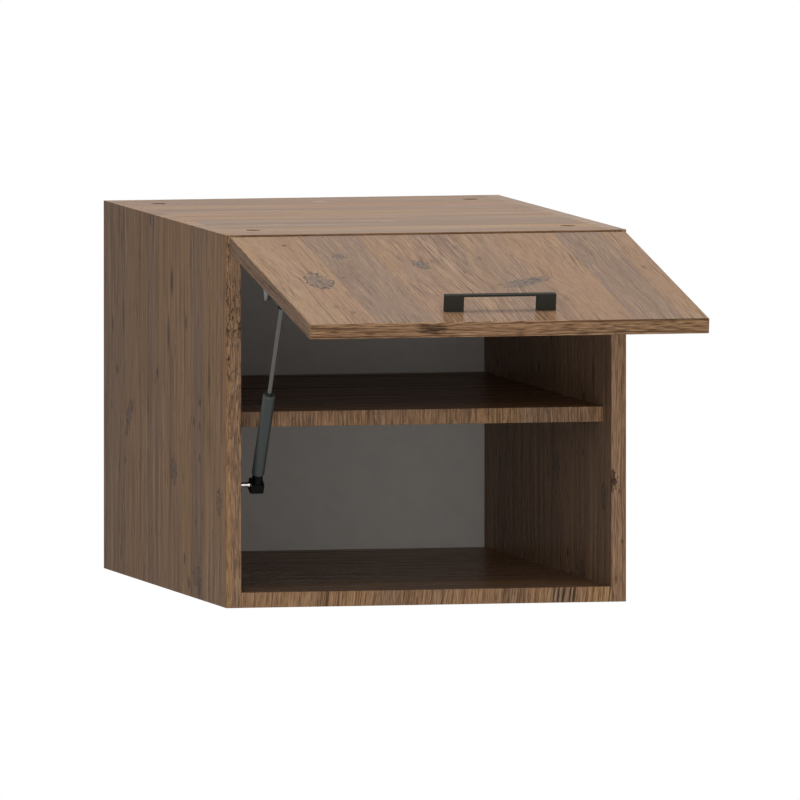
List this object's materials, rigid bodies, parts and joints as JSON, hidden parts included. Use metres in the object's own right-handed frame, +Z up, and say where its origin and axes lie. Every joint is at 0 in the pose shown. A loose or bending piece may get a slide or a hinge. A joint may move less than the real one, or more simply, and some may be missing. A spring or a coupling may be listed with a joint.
{
  "type": "wall cabinet with flap door",
  "caption": "Boxy oak-look wall cabinet, open at the front, with a shelf and a flap door hinged along its top, held up by a gas strut and pulled by a slim black bridge handle.",
  "frame": {"origin": "middle of the underside's rear edge, on the wall plane", "axes": "+Z up, +Y towards the wall, so the front faces -Y; +X to the right of a viewer at the front"},
  "size_m": [0.4, 0.9106, 0.364],
  "materials": {
    "board": "matt oak-plank laminate on chipboard",
    "edge_band": "matt oak-print edge band",
    "flap_board": "matt oak-plank laminate on chipboard",
    "back_board": "light grey lacquered fibreboard",
    "dowel_wood": "plain beech",
    "cam_metal": "dark brown zinc casting",
    "steel": "zinc-plated steel",
    "nickel": "nickel-plated steel",
    "chrome": "polished",
    "handle_metal": "matt black powder coat",
    "strut_paint": "satin slate grey paint",
    "strut_plastic": "black moulding",
    "hanger_plastic": "white moulding",
    "clear_rubber": "soft pale bumper"
  },
  "bodies": {
    "carcass": {"side_panel_left": "board", "side_panel_right": "board", "top_panel": "board", "bottom_panel": "board", "back_panel": "back_board", "shelf": "board", "side_edge_band_left": "edge_band", "side_edge_band_right": "edge_band", "top_edge_band": "edge_band", "bottom_edge_band": "edge_band", "shelf_edge_band": "edge_band", "cam_locks_top": "cam_metal", "cam_locks_bottom": "cam_metal", "connecting_bolts": "steel", "wood_dowels": "dowel_wood", "shelf_pins": "nickel", "hinge_plate_left": "nickel", "hinge_plate_right": "nickel", "hinge_arm_left": "nickel", "hinge_arm_right": "nickel", "hinge_plate_screws": "steel", "strut_lower_stud": "chrome", "hanger_housing_left": "hanger_plastic", "hanger_housing_right": "hanger_plastic", "hanger_hook_left": "steel", "hanger_hook_right": "steel", "hanger_screws": "steel"},
    "flap": {"flap_panel": "flap_board", "flap_edge_band_top": "edge_band", "flap_edge_band_bottom": "edge_band", "flap_edge_band_left": "edge_band", "flap_edge_band_right": "edge_band", "handle": "handle_metal", "handle_screws": "steel", "hinge_cup_left": "nickel", "hinge_cup_right": "nickel", "hinge_cup_screws": "steel", "hinge_pins": "steel", "strut_flap_bracket": "steel", "strut_bracket_screws": "steel", "door_bumpers": "clear_rubber"},
    "strut_cylinder": {"strut_cylinder": "strut_paint", "strut_rod_guide": "strut_plastic", "strut_lower_socket": "strut_plastic"},
    "strut_rod": {"strut_rod": "steel", "strut_piston": "steel", "strut_upper_socket": "strut_plastic", "strut_upper_stud": "chrome"}
  },
  "joints": [
    {"name": "flap_hinge", "type": "hinge", "parent": "carcass", "child": "flap", "pos_m": [0, -0.5635, 0.3554], "axis": [1, 0, 0], "range_deg": [0, 80]},
    {"name": "strut_swing", "type": "hinge", "parent": "carcass", "child": "strut_cylinder", "pos_m": [-0.1657, -0.5324, 0.119], "axis": [1, 0, 0], "range_deg": [-31.27, 0]},
    {"name": "rod_slide", "type": "slide", "parent": "strut_cylinder", "child": "strut_rod", "axis": [0, -0.5315, 0.8471], "range_m": [-0.08481, 0], "stiffness_N_per_m": 150, "springref_m": 0.5}
  ],
  "couplings": [
    {"joint": "strut_swing", "follows": "flap_hinge", "ratio": -0.39066},
    {"joint": "rod_slide", "follows": "flap_hinge", "m_per_rad": -0.060728}
  ]
}
